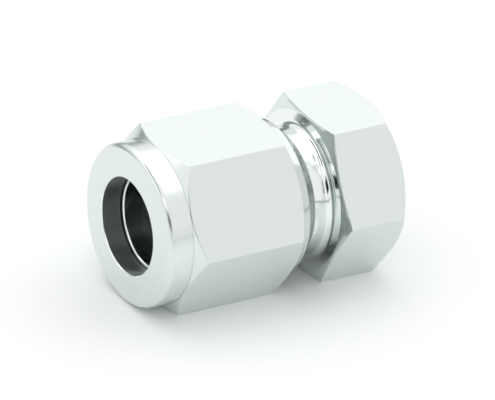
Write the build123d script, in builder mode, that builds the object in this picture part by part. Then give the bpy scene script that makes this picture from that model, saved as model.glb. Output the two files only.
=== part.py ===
from build123d import *
import os
from math import cos, radians, sin, tan

# Finger-tight cap for the end of a metric tube: a blind body, a female nut and two ferrules.
# The axis is X. The nut's mouth faces -X, the origin is the stop that the tube's end meets,
# and the two hexagons lie on a flat, so +Z is up. Millimetres and degrees.

# Tube and the clearances round it, all radial
TUBE_DIAMETER = 12.0
SOCKET_CLEARANCE = 0.08
FERRULE_CLEARANCE = 0.06
MOUTH_CLEARANCE = 0.50

# Walls, from the tube outwards
BACK_FERRULE_WALL = 1.54
FRONT_FERRULE_WALL = 1.74
TAPER_LIP = 0.30
BODY_WALL = 2.22
NUT_WALL = 0.68
NECK_WALL = 2.37
CAVITY_CLEARANCE = 0.35
THREAD_CLEARANCE = 0.05

# Nut
TUBE_DEPTH = 24.0
NUT_LENGTH = 20.2
NOSE_LENGTH = 3.54
NOSE_INSET = 0.10
NOSE_EDGE_RADIUS = 0.9
NUT_FRONT_CHAMFER = 35.0
NUT_REAR_CHAMFER = 32.0
NUT_REAR_INSET = 0.12
MOUTH_CHAMFER = 0.12
MOUTH_LAND = 2.75
SHOULDER_SLOPE = 15.0
CAVITY_STEP_ANGLE = 60.0
THREAD_ENTRY_CHAMFER = 0.25

# Ferrules
SHOULDER_GAP = 0.05
FERRULE_EDGE = 0.20
BACK_RING_CHAMFER = 0.15
BACK_FLANGE_LENGTH = 2.0
BACK_LENGTH = 3.75
FERRULE_STEP_GAP = 0.12
RECESS_ANGLE = 30.0
RECESS_LIP = 0.50
NEST_GAP = 0.03
FRONT_BARREL_LENGTH = 2.42
FRONT_TIP_WALL = 0.34
SEAT_ANGLE = 20.0
SEAT_GAP = 0.05

# Body
HEX_GAP = 5.7
BODY_HEX_LENGTH = 9.8
BODY_FRONT_CHAMFER = 17.0
BODY_FRONT_INSET = 0.40
BODY_REAR_CHAMFER = 35.0
BODY_REAR_INSET = 0.15
NECK_LENGTH = 2.58
NECK_ROOT = 0.85
BODY_LIP = 0.80
PULL_UP_ROOM = 2.1
STOP_STEP = 1.18
PILOT_DEPTH = 3.2
DRILL_POINT_ANGLE = 59.0

# Radii that follow from the tube and the walls
tube_r = TUBE_DIAMETER / 2
socket_r = tube_r + SOCKET_CLEARANCE
ferrule_bore_r = tube_r + FERRULE_CLEARANCE
mouth_r = tube_r + MOUTH_CLEARANCE
back_flange_r = ferrule_bore_r + BACK_FERRULE_WALL
front_ferrule_r = ferrule_bore_r + FRONT_FERRULE_WALL
taper_r = front_ferrule_r + TAPER_LIP
cavity_r = front_ferrule_r + CAVITY_CLEARANCE
thread_r = taper_r + BODY_WALL
nut_thread_r = thread_r + THREAD_CLEARANCE
neck_r = socket_r + NECK_WALL
flat_r = thread_r + NUT_WALL
corner_r = flat_r / cos(radians(30))
blank_r = corner_r + 1.0
nose_r = flat_r - NOSE_INSET
pilot_r = socket_r - STOP_STEP

# Stations of the nut along the axis
mouth_x = -TUBE_DEPTH
nose_end_x = mouth_x + NOSE_LENGTH
nut_rear_x = mouth_x + NUT_LENGTH
shoulder_x = mouth_x + MOUTH_LAND
cavity_x = shoulder_x + (cavity_r - mouth_r) * tan(radians(SHOULDER_SLOPE))

# The back ferrule's rear edge meets the nut's sloping shoulder
back_face_r = back_flange_r - FERRULE_EDGE
back_rear_x = shoulder_x + (back_face_r - mouth_r) * tan(radians(SHOULDER_SLOPE)) + SHOULDER_GAP
back_flange_x = back_rear_x + BACK_FLANGE_LENGTH
back_tip_x = back_rear_x + BACK_LENGTH
front_rear_x = back_flange_x + FERRULE_STEP_GAP

# The back ferrule's nose lies inside the front ferrule's recess, a gap away from its cone
recess_r = front_ferrule_r - RECESS_LIP
recess_slope = tan(radians(RECESS_ANGLE))
recess_end_x = front_rear_x + (recess_r - ferrule_bore_r) / recess_slope
nest_r = recess_r - NEST_GAP / cos(radians(RECESS_ANGLE))
back_cone_r = nest_r + (front_rear_x - back_flange_x) * recess_slope
back_tip_r = nest_r - (back_tip_x - front_rear_x) * recess_slope

# The front ferrule's cone lies in the body's taper, a gap away from it
seat_slope = tan(radians(SEAT_ANGLE))
front_tip_r = ferrule_bore_r + FRONT_TIP_WALL
front_cone_x = front_rear_x + FRONT_BARREL_LENGTH
front_tip_x = front_cone_x + (front_ferrule_r - front_tip_r) / seat_slope
body_front_x = front_cone_x - TAPER_LIP / seat_slope + SEAT_GAP / sin(radians(SEAT_ANGLE))
taper_end_x = body_front_x + (taper_r - socket_r) / seat_slope

# Stations of the body behind the nut
hex_front_x = nut_rear_x + HEX_GAP
hex_rear_x = hex_front_x + BODY_HEX_LENGTH
neck_x = hex_front_x - NECK_LENGTH
thread_end_x = neck_x - (thread_r - neck_r)
lip_r = taper_r + BODY_LIP
thread_start_x = body_front_x + (thread_r - lip_r)
cavity_end_x = body_front_x - PULL_UP_ROOM
step_end_x = cavity_end_x + (nut_thread_r - cavity_r) / tan(radians(CAVITY_STEP_ANGLE))
pilot_point_x = PILOT_DEPTH + pilot_r / tan(radians(DRILL_POINT_ANGLE))


def rise(angle, inset):
    """Length along the axis of a corner chamfer, from its circle on the end face to the blank's radius."""
    return (blank_r - flat_r + inset) * tan(radians(angle))


with BuildPart() as nut:
    with BuildSketch(Plane.YZ.offset(mouth_x)):
        RegularPolygon(radius=flat_r, side_count=6, major_radius=False)
    extrude(amount=NUT_LENGTH)
    # Turned outside: rounded nose, front cone up to the corners, rear chamfer
    with BuildSketch(Plane.XZ) as nut_turned:
        with BuildLine():
            face = Line((mouth_x, 0), (mouth_x, nose_r - NOSE_EDGE_RADIUS))
            edge = JernArc(face @ 1, (0, 1), NOSE_EDGE_RADIUS, -90)
            nose = Line(edge @ 1, (nose_end_x, nose_r))
            cone_x = nose_end_x + (blank_r - nose_r) * tan(radians(NUT_FRONT_CHAMFER))
            cone = Line(nose @ 1, (cone_x, blank_r))
            rear_x = nut_rear_x - rise(NUT_REAR_CHAMFER, NUT_REAR_INSET)
            crown = Line(cone @ 1, (rear_x, blank_r))
            rear = Line(crown @ 1, (nut_rear_x, flat_r - NUT_REAR_INSET))
            Polyline(rear @ 1, (nut_rear_x, 0), (mouth_x, 0))
        make_face()
    revolve(axis=Axis.X, mode=Mode.INTERSECT)
    # Bored inside: mouth, sloping shoulder, ferrule cavity, step and threaded bore
    with BuildSketch(Plane.XZ) as nut_bored:
        with BuildLine():
            Polyline(
                (mouth_x, 0),
                (mouth_x, mouth_r + MOUTH_CHAMFER),
                (mouth_x + MOUTH_CHAMFER, mouth_r),
                (shoulder_x, mouth_r),
                (cavity_x, cavity_r),
                (cavity_end_x, cavity_r),
                (step_end_x, nut_thread_r),
                (nut_rear_x - THREAD_ENTRY_CHAMFER, nut_thread_r),
                (nut_rear_x, nut_thread_r + THREAD_ENTRY_CHAMFER),
                (nut_rear_x, 0),
                close=True,
            )
        make_face()
    revolve(axis=Axis.X, mode=Mode.SUBTRACT)

with BuildPart() as cap_body:
    with BuildSketch(Plane.YZ.offset(hex_front_x)):
        RegularPolygon(radius=flat_r, side_count=6, major_radius=False)
    extrude(amount=BODY_HEX_LENGTH)
    # Corner chamfers of the closed hexagonal end
    with BuildSketch(Plane.XZ) as hex_turned:
        with BuildLine():
            Polyline(
                (hex_front_x, 0),
                (hex_front_x, flat_r - BODY_FRONT_INSET),
                (hex_front_x + rise(BODY_FRONT_CHAMFER, BODY_FRONT_INSET), blank_r),
                (hex_rear_x - rise(BODY_REAR_CHAMFER, BODY_REAR_INSET), blank_r),
                (hex_rear_x, flat_r - BODY_REAR_INSET),
                (hex_rear_x, 0),
                close=True,
            )
        make_face()
    revolve(axis=Axis.X, mode=Mode.INTERSECT)
    # Threaded shank at its crest diameter, run-out cone, and neck with a sloping root at the hexagon
    with BuildSketch(Plane.XZ) as shank_turned:
        with BuildLine():
            start = Polyline((body_front_x, 0), (body_front_x, lip_r), (thread_start_x, thread_r))
            crest = Line(start @ 1, (thread_end_x, thread_r))
            runout = Line(crest @ 1, (neck_x, neck_r))
            neck = Line(runout @ 1, (hex_front_x - NECK_ROOT, neck_r))
            root = Line(neck @ 1, (hex_front_x, neck_r + NECK_ROOT))
            Polyline(root @ 1, (hex_front_x + NECK_ROOT, neck_r + NECK_ROOT),
                     (hex_front_x + NECK_ROOT, 0), (body_front_x, 0))
        make_face()
    revolve(axis=Axis.X)
    # Tapered ferrule seat, tube socket down to its stop, and the drilled end behind it
    with BuildSketch(Plane.XZ) as body_bored:
        with BuildLine():
            Polyline(
                (body_front_x, 0),
                (body_front_x, taper_r),
                (taper_end_x, socket_r),
                (0, socket_r),
                (0, pilot_r),
                (PILOT_DEPTH, pilot_r),
                (pilot_point_x, 0),
                close=True,
            )
        make_face()
    revolve(axis=Axis.X, mode=Mode.SUBTRACT)

with BuildPart() as back_ferrule:
    with BuildSketch(Plane.XZ):
        with BuildLine():
            Polyline(
                (back_rear_x, ferrule_bore_r + BACK_RING_CHAMFER),
                (back_rear_x, back_face_r),
                (back_rear_x + FERRULE_EDGE, back_flange_r),
                (back_flange_x, back_flange_r),
                (back_flange_x, back_cone_r),
                (back_tip_x, back_tip_r),
                (back_tip_x, ferrule_bore_r),
                (back_rear_x + BACK_RING_CHAMFER, ferrule_bore_r),
                close=True,
            )
        make_face()
    revolve(axis=Axis.X)

with BuildPart() as front_ferrule:
    with BuildSketch(Plane.XZ):
        with BuildLine():
            Polyline(
                (front_rear_x, recess_r),
                (front_rear_x, front_ferrule_r - FERRULE_EDGE),
                (front_rear_x + FERRULE_EDGE, front_ferrule_r),
                (front_cone_x, front_ferrule_r),
                (front_tip_x, front_tip_r),
                (front_tip_x, ferrule_bore_r),
                (recess_end_x, ferrule_bore_r),
                close=True,
            )
        make_face()
    revolve(axis=Axis.X)

nut.part.label = "nut"
cap_body.part.label = "cap_body"
back_ferrule.part.label = "back_ferrule"
front_ferrule.part.label = "front_ferrule"

os.makedirs("parts", exist_ok=True)
export_step(nut.part, "parts/nut.step")
export_step(cap_body.part, "parts/cap_body.step")
export_step(back_ferrule.part, "parts/back_ferrule.step")
export_step(front_ferrule.part, "parts/front_ferrule.step")
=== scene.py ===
"""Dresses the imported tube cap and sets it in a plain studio.

The cap is a compression fitting of stainless steel: a blind body with a hexagonal end, a female nut with
a turned nose, and two ferrules. Its axis is X, the nut's mouth faces -X, and X = 0 is the stop that the
tube's end meets. Sizes of the pieces are in millimetres and become metres where a mesh is made.
"""

import logging
import math
from dataclasses import dataclass, field
from enum import Enum

import bmesh
import bpy
from mathutils import Matrix, Vector


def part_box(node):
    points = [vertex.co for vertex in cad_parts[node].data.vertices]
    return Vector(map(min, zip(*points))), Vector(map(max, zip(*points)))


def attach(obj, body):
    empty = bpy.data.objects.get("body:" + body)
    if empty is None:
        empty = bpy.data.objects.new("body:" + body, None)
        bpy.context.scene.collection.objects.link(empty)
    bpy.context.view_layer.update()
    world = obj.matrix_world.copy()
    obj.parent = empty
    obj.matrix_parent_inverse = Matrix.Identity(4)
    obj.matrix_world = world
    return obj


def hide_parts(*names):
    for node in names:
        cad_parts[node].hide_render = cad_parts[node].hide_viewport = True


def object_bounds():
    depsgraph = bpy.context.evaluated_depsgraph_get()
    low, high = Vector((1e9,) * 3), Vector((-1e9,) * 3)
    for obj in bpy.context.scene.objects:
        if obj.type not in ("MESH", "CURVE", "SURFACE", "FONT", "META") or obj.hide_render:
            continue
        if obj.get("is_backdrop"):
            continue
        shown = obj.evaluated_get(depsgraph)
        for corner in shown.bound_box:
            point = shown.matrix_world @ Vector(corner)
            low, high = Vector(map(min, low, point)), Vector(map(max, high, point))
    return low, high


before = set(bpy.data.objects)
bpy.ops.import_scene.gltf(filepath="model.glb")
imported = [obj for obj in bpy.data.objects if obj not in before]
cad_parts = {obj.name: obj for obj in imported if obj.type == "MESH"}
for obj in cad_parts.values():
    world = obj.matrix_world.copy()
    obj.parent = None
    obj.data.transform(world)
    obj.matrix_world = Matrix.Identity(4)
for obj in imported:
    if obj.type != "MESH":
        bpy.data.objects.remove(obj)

MM = 0.001
PHOTO_WIDTH_PX = 495

# Columns of a mesh round the axis, so many that each side of a hexagon has the same number
SIDES = 6
COLUMNS = SIDES * 32

# Points nearer than this are one point, and faces that turn by more than this meet in a sharp edge
MERGE_MM = 0.001
SHARP_DEGREES = 50.0

log = logging.getLogger("tube_cap")


def linear(code: str) -> tuple[float, float, float, float]:
    """Turn an sRGB colour code into linear light.

    Args:
        code: The colour as six hexadecimal digits, such as "E1E8E8".

    Returns:
        Red, green, blue and alpha, with alpha 1.
    """
    levels = [int(code[i:i + 2], 16) / 255 for i in (0, 2, 4)]
    light = [v / 12.92 if v <= 0.04045 else ((v + 0.055) / 1.055) ** 2.4 for v in levels]
    return light[0], light[1], light[2], 1.0


def outward(azimuth: float, elevation: float) -> Vector:
    """Find the direction from the cap to a place in the studio.

    Args:
        azimuth: Degrees round the cap, 0 in front of it and positive towards +X.
        elevation: Degrees above the table.

    Returns:
        A vector of length 1.
    """
    side, up = math.radians(azimuth), math.radians(elevation)
    return Vector((math.sin(side) * math.cos(up), -math.cos(side) * math.cos(up), math.sin(up)))


def add_node(tree: bpy.types.NodeTree, kind: str, settings: dict | None = None,
             inputs: dict | None = None) -> bpy.types.Node:
    """Add a node with its settings, values and links.

    Args:
        tree: The shader or geometry tree that gets the node.
        kind: The node's Blender type name.
        settings: Properties to set on the node, before its sockets are read.
        inputs: Socket names or numbers, each with a plain value or with the output that is linked to it.

    Returns:
        The new node.
    """
    node = tree.nodes.new(kind)
    for name, value in (settings or {}).items():
        setattr(node, name, value)
    for name, value in (inputs or {}).items():
        if isinstance(value, bpy.types.NodeSocket):
            tree.links.new(value, node.inputs[name])
        else:
            node.inputs[name].default_value = value
    return node


class Surface(Enum):
    """The ways that the faces of a piece are worked, in the order of its material slots.

    A piece with one finish has it in the first slot.
    """

    DRAWN = 0
    SATIN = 1
    BRIGHT = 2
    BORED = 3
    THREAD = 4
    RUN_OUT = 5


@dataclass(frozen=True)
class SteelFinish:
    """Stainless steel with the marks of one way of working it.

    Attributes:
        name: The material's name.
        tone: Colour of the bare metal.
        roughness: Mean roughness.
        roughness_spread: How far the roughness wanders from its mean.
        mark_mm: Distance between the marks of the tool or die.
        mark_height_mm: Height of those marks.
        cloud_mm: Size of the soft clouds that tumbling and handling leave.
    """

    name: str
    tone: str
    roughness: float
    roughness_spread: float
    mark_mm: float
    mark_height_mm: float
    cloud_mm: float

    # Range of the sum of the two noises, marks and clouds
    NOISE_SUM = (0.6, 1.4)

    def mark_vector(self, tree: bpy.types.NodeTree, place: bpy.types.NodeSocket) -> bpy.types.NodeSocket:
        """Give the coordinates in which the marks are noise one unit apart.

        Args:
            tree: The material's node tree.
            place: Object coordinates.

        Returns:
            The socket with the coordinates.
        """
        raise NotImplementedError

    def material(self) -> bpy.types.Material:
        """Build the material.

        Returns:
            The material, in which marks and clouds change the roughness and marks make the bump.
        """
        made = bpy.data.materials.new(self.name)
        made.use_nodes = True
        tree = made.node_tree
        tree.nodes.clear()
        place = add_node(tree, "ShaderNodeTexCoord").outputs["Object"]
        marks = add_node(tree, "ShaderNodeTexNoise", {"noise_dimensions": "3D"},
                         {"Vector": self.mark_vector(tree, place), "Scale": 1.0, "Detail": 2.0,
                          "Roughness": 0.6})
        clouds = add_node(tree, "ShaderNodeTexNoise", {"noise_dimensions": "3D"},
                          {"Vector": place, "Scale": 1.0 / (self.cloud_mm * MM), "Detail": 3.0,
                           "Roughness": 0.5})
        mixed = add_node(tree, "ShaderNodeMath", {"operation": "ADD"},
                         {0: marks.outputs["Fac"], 1: clouds.outputs["Fac"]})
        rough = add_node(tree, "ShaderNodeMapRange", None,
                         {"Value": mixed.outputs[0],
                          "From Min": self.NOISE_SUM[0], "From Max": self.NOISE_SUM[1],
                          "To Min": self.roughness - self.roughness_spread,
                          "To Max": self.roughness + self.roughness_spread})
        bump = add_node(tree, "ShaderNodeBump", None,
                        {"Strength": 1.0, "Distance": self.mark_height_mm * MM,
                         "Height": marks.outputs["Fac"]})
        steel = add_node(tree, "ShaderNodeBsdfPrincipled", None,
                         {"Base Color": linear(self.tone), "Metallic": 1.0,
                          "Roughness": rough.outputs["Result"], "Normal": bump.outputs["Normal"]})
        add_node(tree, "ShaderNodeOutputMaterial", None, {"Surface": steel.outputs["BSDF"]})
        return made


@dataclass(frozen=True)
class DrawnFinish(SteelFinish):
    """Cold-drawn bar: an even satin with faint straight die lines along the bar.

    Attributes:
        mark_run_mm: Length over which one die line stays the same.
    """

    mark_run_mm: float

    def mark_vector(self, tree: bpy.types.NodeTree, place: bpy.types.NodeSocket) -> bpy.types.NodeSocket:
        """Stretch the noise along X, the way that the bar was drawn.

        Args:
            tree: The material's node tree.
            place: Object coordinates.

        Returns:
            The socket with the coordinates.
        """
        across = 1.0 / (self.mark_mm * MM)
        along = 1.0 / (self.mark_run_mm * MM)
        mapped = add_node(tree, "ShaderNodeMapping", None,
                          {"Vector": place, "Scale": (along, across, across)})
        return mapped.outputs["Vector"]


@dataclass(frozen=True)
class TurnedFinish(SteelFinish):
    """Turned steel: fine rings round the axis, which catch the light across the cut."""

    def mark_vector(self, tree: bpy.types.NodeTree, place: bpy.types.NodeSocket) -> bpy.types.NodeSocket:
        """Make the noise the same all the way round the axis.

        Args:
            tree: The material's node tree.
            place: Object coordinates.

        Returns:
            The socket with the coordinates.
        """
        flat = add_node(tree, "ShaderNodeVectorMath", {"operation": "MULTIPLY"},
                        {0: place, 1: (0.0, 1.0, 1.0)})
        radius = add_node(tree, "ShaderNodeVectorMath", {"operation": "LENGTH"}, {0: flat.outputs["Vector"]})
        along = add_node(tree, "ShaderNodeSeparateXYZ", None, {"Vector": place})
        rings = add_node(tree, "ShaderNodeCombineXYZ", None,
                         {"X": along.outputs["X"], "Y": radius.outputs["Value"]})
        density = 1.0 / (self.mark_mm * MM)
        scaled = add_node(tree, "ShaderNodeVectorMath", {"operation": "SCALE"},
                          {0: rings.outputs["Vector"], "Scale": density})
        return scaled.outputs["Vector"]


# Cold-drawn bright bar of 316 steel: to the eye a pale, even grey sheen with no clear reflection. The die
# lines are near 0.02 mm apart on the real bar and are drawn coarser, so that they show at all.
DRAWN_BAR = DrawnFinish(
    "drawn_bar_316", "E0E6E4", roughness=0.52, roughness_spread=0.04,
    mark_mm=0.22, mark_height_mm=0.0004, cloud_mm=5.0, mark_run_mm=9.0)

# Nose and cones of the nut and the cones of the body, turned and then tumbled: a soft satin that still shows
# where the light stops. The feed marks are near 0.05 mm apart on the real part and are drawn coarser.
SATIN_TURNED = TurnedFinish(
    "satin_turned_316", "DFE6E5", roughness=0.25, roughness_spread=0.05,
    mark_mm=0.16, mark_height_mm=0.0004, cloud_mm=3.0)

# Neck and front face of the body, turned with a fine feed and left bright: near a mirror, with hard light
# and dark.
BRIGHT_TURNED = TurnedFinish(
    "bright_turned_316", "EBF0EF", roughness=0.11, roughness_spread=0.03,
    mark_mm=0.12, mark_height_mm=0.0002, cloud_mm=2.5)

# Bored and drilled insides: greyer, with deep, coarse rings from the boring bar that scatter the light.
BORED_STEEL = TurnedFinish(
    "bored_316", "D3DAD9", roughness=0.32, roughness_spread=0.06,
    mark_mm=0.20, mark_height_mm=0.0140, cloud_mm=2.0)

# Ferrules, turned bright and cleaned: smooth enough to mirror the mouth of the nut.
FERRULE_STEEL = TurnedFinish(
    "ferrule_316", "E4E8E7", roughness=0.14, roughness_spread=0.05,
    mark_mm=0.10, mark_height_mm=0.0004, cloud_mm=1.5)

# Male thread and the plain end of the shank: a little greyer than the neck, with the rings of the chaser.
CUT_THREAD = TurnedFinish(
    "cut_thread_316", "CBD2D1", roughness=0.15, roughness_spread=0.05,
    mark_mm=0.10, mark_height_mm=0.0005, cloud_mm=1.5)

# Cone where the thread runs out: a dull cut whose dark tone is painted shade, a dark line between two bright
# bands.
RUN_OUT_PAINTED_SHADE = TurnedFinish(
    "run_out_painted_shade_316", "929A99", roughness=0.28, roughness_spread=0.06,
    mark_mm=0.12, mark_height_mm=0.0010, cloud_mm=1.0)

# The nut's thread is silver plated against seizing: whiter and softer than the steel round it.
PLATED_THREAD = TurnedFinish(
    "silver_plated_thread", "F2F1ED", roughness=0.34, roughness_spread=0.06,
    mark_mm=0.14, mark_height_mm=0.0008, cloud_mm=1.5)


@dataclass
class Finishes:
    """Every material of the fitting, built once and shared by the pieces."""

    drawn: bpy.types.Material = field(default_factory=DRAWN_BAR.material)
    satin: bpy.types.Material = field(default_factory=SATIN_TURNED.material)
    bright: bpy.types.Material = field(default_factory=BRIGHT_TURNED.material)
    bored: bpy.types.Material = field(default_factory=BORED_STEEL.material)
    ferrule: bpy.types.Material = field(default_factory=FERRULE_STEEL.material)
    cut_thread: bpy.types.Material = field(default_factory=CUT_THREAD.material)
    # The run-out cone's material, whose dark tone is painted shade
    run_out: bpy.types.Material = field(default_factory=RUN_OUT_PAINTED_SHADE.material)
    plated_thread: bpy.types.Material = field(default_factory=PLATED_THREAD.material)

    def slots(self, thread: bpy.types.Material) -> list[bpy.types.Material]:
        """Materials of a hexagonal piece with that thread, in the order of Surface."""
        return [self.drawn, self.satin, self.bright, self.bored, thread, self.run_out]


@dataclass(frozen=True)
class Crown:
    """The turned end of a hexagonal bar: a cone that cuts the flats, filleted where it leaves the round.

    Attributes:
        x: Place along the axis where the cone has the round part's radius.
        radius: Radius of the round part.
        slope: Angle between the cone and a plane across the axis, in degrees. It is positive for a cone that
            widens towards +X.
        fillet: Radius of the fillet, or 0 for a sharp corner.
        edge: Width of the break between the cone and the flats.
    """

    x: float
    radius: float
    slope: float
    fillet: float = 0.0
    edge: float = 0.07

    @property
    def fillet_end_r(self) -> float:
        """Radius at which the fillet has run into the cone."""
        return self.radius + self.fillet * (1 - math.sin(math.radians(abs(self.slope))))

    def place(self, radius: float) -> float:
        """Find where the turned surface has a radius.

        Args:
            radius: The radius, no smaller than the round part's.

        Returns:
            The place along the axis.
        """
        if radius >= self.fillet_end_r:
            return self.x + math.tan(math.radians(self.slope)) * (radius - self.radius)
        tangent = self.fillet * math.tan(math.radians(90 - abs(self.slope)) / 2)
        reach = math.sqrt(max(0.0, self.fillet ** 2 - (self.radius + self.fillet - radius) ** 2))
        return self.x + math.copysign(reach - tangent, self.slope)


class Line(Enum):
    """What a line round the axis follows: a circle, or one of the lines where a crown meets the hexagon."""

    CIRCLE = "circle"
    CROWN = "crown"
    BREAK = "break"
    FLAT = "flat"


@dataclass(frozen=True)
class Ring:
    """One closed line round the axis, and the finish from it to the next line.

    Attributes:
        x: Place along the axis of a circle. The other lines take theirs from the crown.
        radius: Radius. A line on a crown goes no further out than the hexagon.
        surface: Finish of the strip that follows.
        edge: Width of the break that deburring leaves along a circle, or 0 where there is no edge.
        line: What the line follows.
        crown: The crown, for every line but a circle.
        wound: Whether the strip that follows is left open for the sheet of a thread.
    """

    x: float
    radius: float
    surface: Surface
    edge: float = 0.0
    line: Line = Line.CIRCLE
    crown: Crown | None = None
    wound: bool = False


def arc(centre_x: float, centre_r: float, radius: float, start: float, end: float,
        surface: Surface, steps: int = 12) -> list[Ring]:
    """Draw lines along an arc of an outline.

    Args:
        centre_x: Place of the arc's centre along the axis.
        centre_r: Distance of the centre from the axis.
        radius: Radius of the arc.
        start: Angle of the first line, in degrees from +X towards the outside.
        end: Angle of the last line.
        surface: Finish of the strips.
        steps: Number of strips.

    Returns:
        The lines, the first and last included.
    """
    turns = [math.radians(start + (end - start) * i / steps) for i in range(steps + 1)]
    return [Ring(centre_x + radius * math.cos(turn), centre_r + radius * math.sin(turn), surface)
            for turn in turns]


def crown_rings(crown: Crown, cut: Surface, last: Surface, steps: int = 8) -> list[Ring]:
    """Draw the lines of a crown, from the round part out to the flats.

    Args:
        crown: The crown.
        cut: Finish of the turned strips.
        last: Finish of the strip after the last line.
        steps: Number of strips on the fillet.

    Returns:
        The lines.
    """
    full = math.radians(90 - abs(crown.slope))
    radii = [crown.radius + crown.fillet * (1 - math.cos(full * i / steps)) for i in range(steps + 1)]
    rings = [Ring(0.0, r, cut, line=Line.CROWN, crown=crown) for r in radii]
    if not crown.fillet:
        rings = [Ring(0.0, crown.radius, cut, crown.edge / 2, Line.CROWN, crown)]
    rings += [Ring(0.0, math.inf, cut, line=line, crown=crown) for line in (Line.CROWN, Line.BREAK)]
    return rings + [Ring(0.0, math.inf, last, line=Line.FLAT, crown=crown)]


@dataclass
class TurnedPiece:
    """A closed mesh from lines round the axis, some of which may follow a hexagon.

    Attributes:
        name: The piece's name.
        rings: The lines in order along the outline. A radius of 0 is a point on the axis.
        flat_r: Half the hexagon's size across flats, or 0 for a round piece.
        corner_edge: Width of the break along the hexagon's corners.
        bevel_segments: Number of strips across a break.
        ring_shaped: Whether the last line joins the first, as on a piece with a hole through it.
    """

    name: str
    rings: list[Ring]
    flat_r: float = 0.0
    corner_edge: float = 0.05
    bevel_segments: int = 3
    ring_shaped: bool = True

    def outline_point(self, ring: Ring, column: int) -> tuple[float, float]:
        """Find a line's place along the axis and its radius at one column.

        Args:
            ring: The line.
            column: The column, counted from a corner of the hexagon.

        Returns:
            Place along the axis and radius, in millimetres.
        """
        if ring.line is Line.CIRCLE:
            return ring.x, ring.radius
        crown, per_side, side_angle = ring.crown, COLUMNS // SIDES, 360 / SIDES
        from_flat = (column % per_side) * side_angle / per_side - side_angle / 2
        hexagon_r = self.flat_r / math.cos(math.radians(from_flat))
        corner_x = crown.place(hexagon_r)
        flat_x = corner_x + math.copysign(crown.edge, crown.slope)
        if ring.line is Line.FLAT:
            return flat_x, hexagon_r
        cut_r = min(ring.radius, hexagon_r - min(crown.edge, (hexagon_r - crown.radius) / 2))
        if ring.line is Line.CROWN:
            return crown.place(cut_r), cut_r
        return (crown.place(cut_r) + 2 * corner_x + flat_x) / 4, (cut_r + 3 * hexagon_r) / 4

    def row(self, made: bmesh.types.BMesh, ring: Ring) -> list[bmesh.types.BMVert]:
        """Set the points of one line.

        Args:
            made: The mesh that gets the points.
            ring: The line.

        Returns:
            The points, one in each column.
        """
        points = []
        for column in range(COLUMNS):
            x, radius = self.outline_point(ring, column)
            angle = 2 * math.pi * column / COLUMNS
            y, z = radius * math.cos(angle), radius * math.sin(angle)
            points.append(made.verts.new((x * MM, y * MM, z * MM)))
        return points

    def skin(self, made: bmesh.types.BMesh, weight: bmesh.types.BMLayerItem) -> None:
        """Set the lines and the strips between them, with the width of each edge that is to be broken.

        Args:
            made: The mesh that gets them.
            weight: The mesh's layer for the bevel weight of an edge.
        """
        rows = [self.row(made, ring) for ring in self.rings]
        strips = list(zip(self.rings, rows, rows[1:] + rows[:1]))
        for ring, here, there in strips if self.ring_shaped else strips[:-1]:
            if ring.wound:
                continue
            has_corners = ring.surface is Surface.DRAWN and ring.line is Line.FLAT
            for i in range(COLUMNS):
                j = (i + 1) % COLUMNS
                face = made.faces.new((here[i], here[j], there[j], there[i]))
                face.material_index = ring.surface.value
                face.smooth = True
                if has_corners and i % (COLUMNS // SIDES) == 0:
                    made.edges.get((here[i], there[i]))[weight] = self.corner_edge
        for ring, here in zip(self.rings, rows):
            for i in range(COLUMNS):
                made.edges.get((here[i], here[(i + 1) % COLUMNS]))[weight] = ring.edge

    def mesh(self, sheet: bpy.types.Mesh | None) -> bpy.types.Mesh:
        """Build the closed mesh.

        Args:
            sheet: The thread that fills the strip left open for it.

        Returns:
            The mesh, with the width of each edge that is still to be broken as its bevel weight.
        """
        made = bmesh.new()
        weight = made.edges.layers.float.new("bevel_weight_edge")
        self.skin(made, weight)
        if sheet:
            made.from_mesh(sheet)
        bmesh.ops.remove_doubles(made, verts=made.verts, dist=MERGE_MM * MM)
        bmesh.ops.recalc_face_normals(made, faces=made.faces)
        for side in made.edges:
            kinds = {face.material_index for face in side.link_faces}
            bounds_a_flat = len(kinds) > 1 and Surface.DRAWN.value in kinds
            turns_sharply = side.calc_face_angle(0.0) > math.radians(SHARP_DEGREES)
            if not side[weight] and (bounds_a_flat or turns_sharply):
                side.smooth = False
        open_edges = sum(1 for side in made.edges if not side.is_manifold)
        if open_edges:
            log.warning("%s has %d open edges", self.name, open_edges)
        result = bpy.data.meshes.new(self.name)
        made.to_mesh(result)
        made.free()
        return result

    def build(self, materials: list[bpy.types.Material],
              sheet: bpy.types.Mesh | None = None) -> bpy.types.Object:
        """Make the object and break its edges.

        Args:
            materials: Materials in the order of Surface.
            sheet: The thread that fills the strip left open for it.

        Returns:
            The object, linked to the scene.
        """
        made = self.mesh(sheet)
        for material in materials:
            made.materials.append(material)
        piece = bpy.data.objects.new(self.name, made)
        bpy.context.scene.collection.objects.link(piece)
        # An edge's weight is its width in millimetres, so the modifier's own width is one of them
        bevel = piece.modifiers.new("broken_edges", "BEVEL")
        bevel.width = MM
        bevel.segments = self.bevel_segments
        bevel.limit_method = "WEIGHT"
        bevel.use_clamp_overlap = False
        normals = piece.modifiers.new("true_flats", "WEIGHTED_NORMAL")
        normals.mode = "FACE_AREA"
        normals.keep_sharp = True
        return piece


@dataclass(frozen=True)
class End:
    """Where a thread ends on a cone: a circle, and the rise in radius for each millimetre from there."""

    x: float
    radius: float
    rise: float


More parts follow.
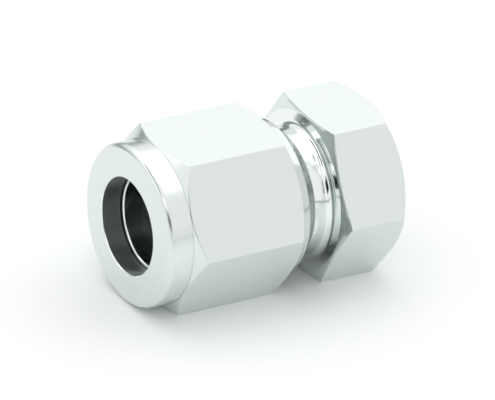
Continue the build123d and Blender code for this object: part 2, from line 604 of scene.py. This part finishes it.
@dataclass(frozen=True)
class Thread:
    """A right-handed 60 degree thread as a sheet wound round the axis by geometry nodes.

    Attributes:
        name: The sheet's name.
        pitch: Advance for one turn.
        low_r: Radius where the thread is nearest to the axis.
        depth: Depth of the groove.
        phase_x: A place along the axis where the thread has its low radius, in the direction of +Y.
        front: The end towards -X.
        rear: The end towards +X.
    """

    name: str
    pitch: float
    low_r: float
    depth: float
    phase_x: float
    front: End
    rear: End

    SAMPLES_PER_PITCH = 16

    # Share of the pitch that is flat at the crest, and again at the root
    FLAT_SHARE = 1 / 8

    def tree(self, material: bpy.types.Material) -> bpy.types.NodeTree:
        """Build the node tree that winds the sheet.

        Args:
            material: Material of the thread.

        Returns:
            The tree, with its sizes as named inputs.
        """
        tree = bpy.data.node_groups.new(f"{self.name}_winding", "GeometryNodeTree")
        face = tree.interface
        face.new_socket("Geometry", in_out="OUTPUT", socket_type="NodeSocketGeometry")
        face.new_socket("Turns", in_out="INPUT", socket_type="NodeSocketInt")
        for label in ("Pitch", "Low Radius", "Depth", "Start", "Front X", "Front Radius", "Front Rise",
                      "Rear X", "Rear Radius", "Rear Rise"):
            face.new_socket(label, in_out="INPUT", socket_type="NodeSocketFloat")
        given = add_node(tree, "NodeGroupInput").outputs

        def sum_of(operation: str, a: object, b: object = 0.0, c: object = 0.0) -> bpy.types.NodeSocket:
            """Output of one arithmetic step on up to three terms."""
            return add_node(tree, "ShaderNodeMath", {"operation": operation}, {0: a, 1: b, 2: c}).outputs[0]

        # The grid's long side follows the helix and its short side crosses one pitch
        count = sum_of("MULTIPLY_ADD", given["Turns"], float(COLUMNS), 1.0)
        grid = add_node(tree, "GeometryNodeMeshGrid", None,
                        {"Size X": 1.0, "Size Y": 1.0, "Vertices X": count,
                         "Vertices Y": self.SAMPLES_PER_PITCH + 1})
        place = add_node(tree, "ShaderNodeSeparateXYZ", None,
                         {0: add_node(tree, "GeometryNodeInputPosition").outputs[0]}).outputs
        turn = sum_of("MULTIPLY", sum_of("ADD", place["X"], 0.5), given["Turns"])
        share = sum_of("ADD", place["Y"], 0.5)
        free_x = sum_of("MULTIPLY_ADD", sum_of("ADD", turn, share), given["Pitch"], given["Start"])
        x = sum_of("MINIMUM", sum_of("MAXIMUM", free_x, given["Front X"]), given["Rear X"])

        # Crest and root are flat, and the flanks between them are straight
        from_peak = sum_of("ABSOLUTE", sum_of("SUBTRACT", share, 0.5))
        height = add_node(tree, "ShaderNodeMapRange", {"clamp": True},
                          {"Value": from_peak, "From Min": 0.5 - self.FLAT_SHARE / 2,
                           "From Max": self.FLAT_SHARE / 2}).outputs["Result"]
        profile = sum_of("MULTIPLY_ADD", height, given["Depth"], given["Low Radius"])
        front = sum_of("MULTIPLY_ADD", sum_of("SUBTRACT", x, given["Front X"]), given["Front Rise"],
                       given["Front Radius"])
        rear = sum_of("MULTIPLY_ADD", sum_of("SUBTRACT", given["Rear X"], x), given["Rear Rise"],
                      given["Rear Radius"])
        radius = sum_of("MAXIMUM", sum_of("MINIMUM", profile, front), rear)
        angle = sum_of("MULTIPLY", turn, 2 * math.pi)
        wound = add_node(tree, "ShaderNodeCombineXYZ", None,
                         {"X": x, "Y": sum_of("MULTIPLY", radius, sum_of("COSINE", angle)),
                          "Z": sum_of("MULTIPLY", radius, sum_of("SINE", angle))})
        moved = add_node(tree, "GeometryNodeSetPosition", None,
                         {"Geometry": grid.outputs["Mesh"], "Position": wound.outputs[0]})
        real = add_node(tree, "GeometryNodeRealizeInstances", None, {"Geometry": moved.outputs[0]})
        dressed = add_node(tree, "GeometryNodeSetMaterial", None,
                           {"Geometry": real.outputs[0], "Material": material})
        add_node(tree, "NodeGroupOutput", None, {"Geometry": dressed.outputs[0]})
        return tree

    def sheet(self, material: bpy.types.Material) -> bpy.types.Mesh:
        """Wind the thread and turn it into a plain mesh, open along the circles where it meets its piece.

        Args:
            material: Material of the thread.

        Returns:
            The mesh.
        """
        before = math.ceil((self.phase_x - self.front.x) / self.pitch + 1)
        start = self.phase_x - before * self.pitch
        turns = math.ceil((self.rear.x - start) / self.pitch)
        sizes = {
            "Turns": turns, "Pitch": self.pitch * MM, "Start": start * MM,
            "Low Radius": self.low_r * MM, "Depth": self.depth * MM,
            "Front X": self.front.x * MM, "Front Radius": self.front.radius * MM,
            "Front Rise": self.front.rise,
            "Rear X": self.rear.x * MM, "Rear Radius": self.rear.radius * MM,
            "Rear Rise": self.rear.rise,
        }
        holder = bpy.data.objects.new(self.name, bpy.data.meshes.new(f"{self.name}_seed"))
        bpy.context.scene.collection.objects.link(holder)
        winding = holder.modifiers.new("winding", "NODES")
        winding.node_group = self.tree(material)
        for item in winding.node_group.interface.items_tree:
            if item.in_out == "INPUT":
                winding[item.identifier] = sizes[item.name]
        bpy.context.view_layer.update()
        graph = bpy.context.evaluated_depsgraph_get()
        made = bpy.data.meshes.new_from_object(holder.evaluated_get(graph), depsgraph=graph)
        made.polygons.foreach_set("material_index", [Surface.THREAD.value] * len(made.polygons))
        made.polygons.foreach_set("use_smooth", [True] * len(made.polygons))
        bpy.data.objects.remove(holder)
        return made


@dataclass
class ThreadFit:
    """The thread that the nut and the body share."""

    pitch: float = 1.27
    depth: float = 0.825
    crest_r: float = 10.32
    gap: float = 0.08
    phase_x: float = -18.6

    def male(self, front: End, rear: End) -> Thread:
        """Thread of the body, between its ends."""
        return Thread("body_thread", self.pitch, self.crest_r - self.depth, self.depth, self.phase_x,
                      front, rear)

    def female(self, front: End, rear: End) -> Thread:
        """Thread of the nut, between its ends."""
        return Thread("nut_thread", self.pitch, self.crest_r - self.depth + self.gap, self.depth,
                      self.phase_x, front, rear)


@dataclass
class CapBody:
    """The blind body: hexagonal end, bright neck, threaded shank, tapered seat and tube socket."""

    fit: ThreadFit
    flat_r: float = 11.0
    face_inset: float = 0.40
    front_slope: float = 17.0
    rear_inset: float = 0.15
    rear_slope: float = 35.0
    neck_r: float = 8.45
    neck_length: float = 2.58
    neck_fillet: float = 0.95
    thread_end: float = -3.95
    hex_length: float = 9.8
    lip: float = 0.8
    taper_r: float = 8.1
    seat_angle: float = 20.0
    socket_r: float = 6.08
    pilot_r: float = 4.9
    pilot_depth: float = 3.2
    drill_point: float = 59.0
    broken: float = 0.05
    fillet_steps: int = 10
    thread_entry_rise: float = 1.0
    thread_end_rise: float = -0.6

    def build(self, finishes: Finishes) -> list[bpy.types.Object]:
        """Make the body with its thread.

        Args:
            finishes: The fitting's materials.

        Returns:
            The piece.
        """
        low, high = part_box("cap_body")
        front_x, rear_x = low[0] / MM, high[0] / MM
        hex_x = rear_x - self.hex_length
        neck_x = hex_x - self.neck_length
        point_x = self.pilot_depth + self.pilot_r / math.tan(math.radians(self.drill_point))
        taper_end_x = front_x + (self.taper_r - self.socket_r) / math.tan(math.radians(self.seat_angle))
        front_crown = Crown(hex_x, self.flat_r - self.face_inset, self.front_slope)
        rear_crown = Crown(rear_x, self.flat_r - self.rear_inset, -self.rear_slope)
        rings = [
            Ring(point_x, 0.0, Surface.BORED),
            Ring(self.pilot_depth, self.pilot_r, Surface.BORED),
            Ring(0.0, self.pilot_r, Surface.BORED, self.broken),
            Ring(0.0, self.socket_r, Surface.BORED),
            Ring(taper_end_x, self.socket_r, Surface.BRIGHT),
            Ring(front_x, self.taper_r, Surface.BRIGHT, self.broken),
            Ring(front_x, self.taper_r + self.lip, Surface.THREAD, wound=True),
            Ring(self.thread_end, self.fit.crest_r, Surface.THREAD),
            # The run-out cone takes the material whose dark tone is painted shade
            Ring(neck_x - self.fit.crest_r + self.neck_r, self.fit.crest_r, Surface.RUN_OUT, self.broken),
            Ring(neck_x, self.neck_r, Surface.BRIGHT, self.broken),
            *arc(hex_x - self.neck_fillet, self.neck_r + self.neck_fillet, self.neck_fillet, -90, 0,
                 Surface.BRIGHT, self.fillet_steps),
            *crown_rings(front_crown, Surface.SATIN, Surface.DRAWN),
            *reversed(crown_rings(rear_crown, Surface.SATIN, Surface.SATIN)),
            Ring(rear_x, 0.0, Surface.SATIN),
        ]
        thread = self.fit.male(End(front_x, self.taper_r + self.lip, self.thread_entry_rise),
                               End(self.thread_end, self.fit.crest_r, self.thread_end_rise))
        shell = TurnedPiece("cap_body_turned", rings, self.flat_r, ring_shaped=False)
        cut = finishes.cut_thread
        body = shell.build(finishes.slots(cut), thread.sheet(cut))
        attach(body, "body")
        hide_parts("cap_body")
        return [body]


@dataclass
class Nut:
    """The female nut: hexagon, turned nose with a rounded edge, and the inside that drives the ferrules."""

    fit: ThreadFit
    flat_r: float = 11.0
    nose_length: float = 3.54
    nose_inset: float = 0.10
    nose_edge: float = 0.9
    nose_fillet: float = 0.2
    front_slope: float = 35.0
    rear_slope: float = 32.0
    rear_inset: float = 0.12
    mouth_r: float = 6.5
    mouth_chamfer: float = 0.12
    land: float = 2.75
    shoulder_slope: float = 15.0
    cavity_r: float = 8.15
    cavity_end: float = 4.803
    step_angle: float = 60.0
    entry_r: float = 10.62
    entry_rise: float = -1.0
    broken: float = 0.05
    shoulder_broken: float = 0.04

    def build(self, finishes: Finishes) -> list[bpy.types.Object]:
        """Make the nut with its thread.

        Args:
            finishes: The fitting's materials.

        Returns:
            The piece.
        """
        low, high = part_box("nut")
        mouth_x, rear_x = low[0] / MM, high[0] / MM
        nose_r = self.flat_r - self.nose_inset
        shoulder_x = mouth_x + self.land
        shoulder = math.tan(math.radians(self.shoulder_slope))
        cavity_x = shoulder_x + (self.cavity_r - self.mouth_r) * shoulder
        cavity_end_x = mouth_x + self.cavity_end
        front_crown = Crown(mouth_x + self.nose_length, nose_r, self.front_slope, self.nose_fillet)
        rear_crown = Crown(rear_x, self.flat_r - self.rear_inset, -self.rear_slope)
        rings = [
            Ring(mouth_x, self.mouth_r + self.mouth_chamfer, Surface.SATIN, self.broken),
            *arc(mouth_x + self.nose_edge, nose_r - self.nose_edge, self.nose_edge, 180, 90,
                 Surface.SATIN),
            *crown_rings(front_crown, Surface.SATIN, Surface.DRAWN),
            *reversed(crown_rings(rear_crown, Surface.SATIN, Surface.SATIN)),
            Ring(rear_x, self.entry_r, Surface.THREAD, wound=True),
            Ring(cavity_end_x, self.cavity_r, Surface.BORED),
            Ring(cavity_x, self.cavity_r, Surface.BORED),
            Ring(shoulder_x, self.mouth_r, Surface.BORED, self.shoulder_broken),
            Ring(mouth_x + self.mouth_chamfer, self.mouth_r, Surface.BRIGHT, self.broken),
        ]
        rise = math.tan(math.radians(self.step_angle))
        thread = self.fit.female(End(cavity_end_x, self.cavity_r, rise),
                                 End(rear_x, self.entry_r, self.entry_rise))
        shell = TurnedPiece("nut_turned", rings, self.flat_r)
        plated = finishes.plated_thread
        nut = shell.build(finishes.slots(plated), thread.sheet(plated))
        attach(nut, "nut")
        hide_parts("nut")
        return [nut]


@dataclass
class Ferrules:
    """The front and back ferrules, nested in each other behind the body's taper."""

    bore_r: float = 6.06
    edge: float = 0.20
    flange_r: float = 7.6
    ring_chamfer: float = 0.15
    flange_length: float = 2.0
    nose_r: float = 7.335
    nose_slope: float = 30.0
    barrel_r: float = 7.8
    barrel_length: float = 2.42
    tip_wall: float = 0.34
    recess_lip: float = 0.5
    recess_slope: float = 30.0
    broken: float = 0.03
    tip_broken: float = 0.02

    def lines(self, corners: list[tuple[float, float, float]]) -> list[Ring]:
        """Turn the corners of a ferrule's outline into lines with its one finish.

        Args:
            corners: Place along the axis, radius and width of the break of each corner.

        Returns:
            The lines.
        """
        return [Ring(x, radius, Surface.DRAWN, edge) for x, radius, edge in corners]

    def back(self) -> list[Ring]:
        """Draw the back ferrule, from its rear ring over the flange and the nose to the bore.

        Returns:
            The lines.
        """
        low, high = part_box("back_ferrule")
        rear_x, tip_x = low[0] / MM, high[0] / MM
        flange_x = rear_x + self.flange_length
        tip_r = self.nose_r - (tip_x - flange_x) * math.tan(math.radians(self.nose_slope))
        return self.lines([
            (rear_x, self.bore_r + self.ring_chamfer, self.broken),
            (rear_x, self.flange_r - self.edge, self.broken),
            (rear_x + self.edge, self.flange_r, self.broken),
            (flange_x, self.flange_r, self.broken),
            (flange_x, self.nose_r, 0.0),
            (tip_x, tip_r, self.tip_broken),
            (tip_x, self.bore_r, self.tip_broken),
            (rear_x + self.ring_chamfer, self.bore_r, self.broken),
        ])

    def front(self) -> list[Ring]:
        """Draw the front ferrule, from its recess over the barrel and the cone to the bore.

        Returns:
            The lines.
        """
        low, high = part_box("front_ferrule")
        rear_x, tip_x = low[0] / MM, high[0] / MM
        recess_r = self.barrel_r - self.recess_lip
        recess_x = rear_x + (recess_r - self.bore_r) / math.tan(math.radians(self.recess_slope))
        return self.lines([
            (rear_x, recess_r, self.tip_broken),
            (rear_x, self.barrel_r - self.edge, self.broken),
            (rear_x + self.edge, self.barrel_r, self.broken),
            (rear_x + self.barrel_length, self.barrel_r, self.broken),
            (tip_x, self.bore_r + self.tip_wall, self.tip_broken),
            (tip_x, self.bore_r, self.tip_broken),
            (recess_x, self.bore_r, 0.0),
        ])

    def build(self, finishes: Finishes) -> list[bpy.types.Object]:
        """Make both ferrules.

        Args:
            finishes: The fitting's materials.

        Returns:
            The pieces.
        """
        made = []
        for node, rings in (("back_ferrule", self.back()), ("front_ferrule", self.front())):
            piece = TurnedPiece(f"{node}_turned", rings).build([finishes.ferrule])
            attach(piece, "ferrules")
            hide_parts(node)
            made.append(piece)
        return made


@dataclass
class Studio:
    """White table, a broad softbox overhead, a small one above the camera, dark cards, and the camera.

    The cards stand where the photograph's steel shows something dark: low behind, low in front, round the
    camera, to the left of it and above it. The camera sees no card and no lamp, and the cards take no light
    from the table. Directions are an azimuth and an elevation in degrees, as outward has them, and sizes are
    in metres.

    Attributes:
        room: Half the size of the table, and the distance of the two low cards.
        sky_light: Level at which the white surroundings light the cap and the table.
        key_at: Azimuth, elevation and distance of the small softbox.
        azimuth: Direction from which the camera looks.
        px_per_mm: Scale of the photograph where the cap is.
        centre_x_mm: Place on the axis that the camera looks at.
        aim_right_mm: How far to the right of that place it looks.
        card_distance: Distance of the dark cards from the cap.
        dark_cards: Azimuth, elevation, width and height of each of them.
    """

    room: float = 3.0
    floor_tone: str = "FAFCFB"
    back_card_tone: str = "9FA8A7"
    back_card_height: float = 0.80
    skirting_tone: str = "202524"
    skirting_height: float = 0.10
    dark_tone: str = "1A2827"
    sky_light: float = 0.76
    softbox_centre: tuple[float, float, float] = (-0.35, 0.40, 1.0)
    softbox_size: tuple[float, float] = (3.3, 1.68)
    softbox_watts: float = 10.4
    key_at: tuple[float, float, float] = (-41.0, 47.0, 1.1)
    key_size: tuple[float, float] = (0.30, 0.20)
    key_watts: float = 0.32
    azimuth: float = -33.4
    elevation: float = 28.55
    roll: float = 4.87
    distance: float = 1.0
    px_per_mm: float = 7.694
    centre_x_mm: float = -6.15
    aim_right_mm: float = 0.307
    sensor_mm: float = 36.0
    clip_range: tuple[float, float] = (0.01, 20.0)
    card_distance: float = 1.3
    dark_cards: dict[str, tuple[float, float, float, float]] = field(default_factory=lambda: {
        "camera_card": (-31.0, 23.0, 0.95, 0.46),
        "left_card": (-95.0, 48.0, 1.1, 0.40),
        "upper_card": (-45.0, 68.0, 0.6, 0.30),
    })

    def sheet(self, name: str, corners: list[tuple[float, float, float]], tone: str) -> bpy.types.Object:
        """Make a flat matt sheet that isn't part of the cap.

        Args:
            name: Name of the sheet.
            corners: Its corners in metres.
            tone: Its colour.

        Returns:
            The sheet.
        """
        paint = bpy.data.materials.new(f"{name}_paint")
        paint.use_nodes = True
        tree = paint.node_tree
        tree.nodes.clear()
        matt = add_node(tree, "ShaderNodeBsdfDiffuse", None, {"Color": linear(tone)})
        add_node(tree, "ShaderNodeOutputMaterial", None, {"Surface": matt.outputs[0]})
        made = bpy.data.meshes.new(name)
        made.from_pydata(corners, [], [tuple(range(len(corners)))])
        made.materials.append(paint)
        sheet = bpy.data.objects.new(name, made)
        bpy.context.scene.collection.objects.link(sheet)
        sheet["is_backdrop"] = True
        return sheet

    def room_sheets(self) -> None:
        """Lay the table under the cap, and stand the cards that give the steel its dark lines."""
        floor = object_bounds()[0][2]
        top, low = floor + self.back_card_height, floor + self.skirting_height
        r = self.room
        self.sheet("table", [(-r, -r, floor), (r, -r, floor), (r, r, floor), (-r, r, floor)],
                   self.floor_tone)
        cards = [
            self.sheet("back_card", [(-r, r, floor), (r, r, floor), (r, r, top), (-r, r, top)],
                       self.back_card_tone),
            self.sheet("front_skirting", [(-r, -r, floor), (r, -r, floor), (r, -r, low), (-r, -r, low)],
                       self.skirting_tone),
        ]
        for name, (azimuth, elevation, width, height) in self.dark_cards.items():
            cards.append(self.sheet(name, self.facing(azimuth, elevation, width, height), self.dark_tone))
        for card in cards:
            card.visible_camera = False
            card.visible_diffuse = False

    def facing(self, azimuth: float, elevation: float, width: float,
               height: float) -> list[tuple[float, float, float]]:
        """Find the corners of an upright card that faces the cap.

        Args:
            azimuth: Degrees round the cap, 0 in front of it and positive towards +X.
            elevation: Degrees above the table.
            width: Width of the card.
            height: Height of the card.

        Returns:
            The corners.
        """
        side = math.radians(azimuth)
        out = outward(azimuth, elevation)
        across = Vector((math.cos(side), math.sin(side), 0.0)) * width / 2
        rise = out.cross(across).normalized() * height / 2
        middle = out * self.card_distance
        return [tuple(middle + across * i + rise * j) for i, j in ((-1, -1), (1, -1), (1, 1), (-1, 1))]

    def world(self) -> None:
        """White surroundings for the eye and for reflections, and a plain level of light on the object."""
        world = bpy.data.worlds.new("studio")
        bpy.context.scene.world = world
        world.use_nodes = True
        tree = world.node_tree
        tree.nodes.clear()
        ray = add_node(tree, "ShaderNodeLightPath").outputs
        seen = add_node(tree, "ShaderNodeMath", {"operation": "MAXIMUM"},
                        {0: ray["Is Camera Ray"], 1: ray["Is Transmission Ray"]})
        any_seen = add_node(tree, "ShaderNodeMath", {"operation": "MAXIMUM"},
                            {0: seen.outputs[0], 1: ray["Is Glossy Ray"]})
        level = add_node(tree, "ShaderNodeMapRange", None,
                         {"Value": any_seen.outputs[0], "To Min": self.sky_light, "To Max": 1.0})
        sky = add_node(tree, "ShaderNodeBackground", None,
                       {"Color": (1.0, 1.0, 1.0, 1.0), "Strength": level.outputs["Result"]})
        add_node(tree, "ShaderNodeOutputWorld", None, {"Surface": sky.outputs[0]})

    def lamp(self, name: str, place: Vector, size: tuple[float, float], watts: float) -> bpy.types.Object:
        """Hang a softbox that faces down.

        Args:
            name: Name of the lamp.
            place: Its centre in metres.
            size: Its width and height.
            watts: Its power.

        Returns:
            The lamp.
        """
        light = bpy.data.lights.new(name, "AREA")
        light.shape = "RECTANGLE"
        light.size, light.size_y = size
        light.energy = watts
        made = bpy.data.objects.new(name, light)
        bpy.context.scene.collection.objects.link(made)
        made.location = place
        made.visible_camera = False
        return made

    def lamps(self) -> None:
        """Hang the broad softbox overhead, and the small one above the camera, turned towards the cap."""
        self.lamp("softbox", Vector(self.softbox_centre), self.softbox_size, self.softbox_watts)
        azimuth, elevation, distance = self.key_at
        out = outward(azimuth, elevation)
        key = self.lamp("key", out * distance, self.key_size, self.key_watts)
        key.rotation_euler = out.to_track_quat("Z", "Y").to_euler()

    def camera(self) -> bpy.types.Object:
        """Set the camera at the photograph's viewing angle.

        Returns:
            The camera, which is the scene's own.
        """
        data = bpy.data.cameras.new("camera")
        data.sensor_width = self.sensor_mm
        data.lens = self.px_per_mm * self.distance / MM * self.sensor_mm / PHOTO_WIDTH_PX
        data.clip_start, data.clip_end = self.clip_range
        made = bpy.data.objects.new("camera", data)
        bpy.context.scene.collection.objects.link(made)
        back = outward(self.azimuth, self.elevation)
        tilt = Matrix.Rotation(math.radians(self.roll), 3, "Z")
        turn = (-back).to_track_quat("-Z", "Y").to_matrix() @ tilt
        aim = Vector((self.centre_x_mm * MM, 0.0, 0.0)) + turn.col[0] * self.aim_right_mm * MM
        made.rotation_euler = turn.to_euler()
        made.location = aim + back * self.distance
        bpy.context.scene.camera = made
        return made

    def build(self) -> None:
        """Set the whole studio."""
        self.room_sheets()
        self.world()
        self.lamps()
        self.camera()
        bpy.context.scene.view_settings.view_transform = "Standard"


def main() -> None:
    """Build the fitting piece by piece, then the studio, and log each piece's face count."""
    logging.basicConfig(level=logging.INFO, format="%(name)s: %(message)s")
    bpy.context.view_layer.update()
    finishes = Finishes()
    fit = ThreadFit()
    for part in (CapBody(fit), Ferrules(), Nut(fit)):
        for piece in part.build(finishes):
            log.info("%s: %s, %d faces", type(part).__name__, piece.name, len(piece.data.polygons))
    Studio().build()


if __name__ == "__main__":
    main()
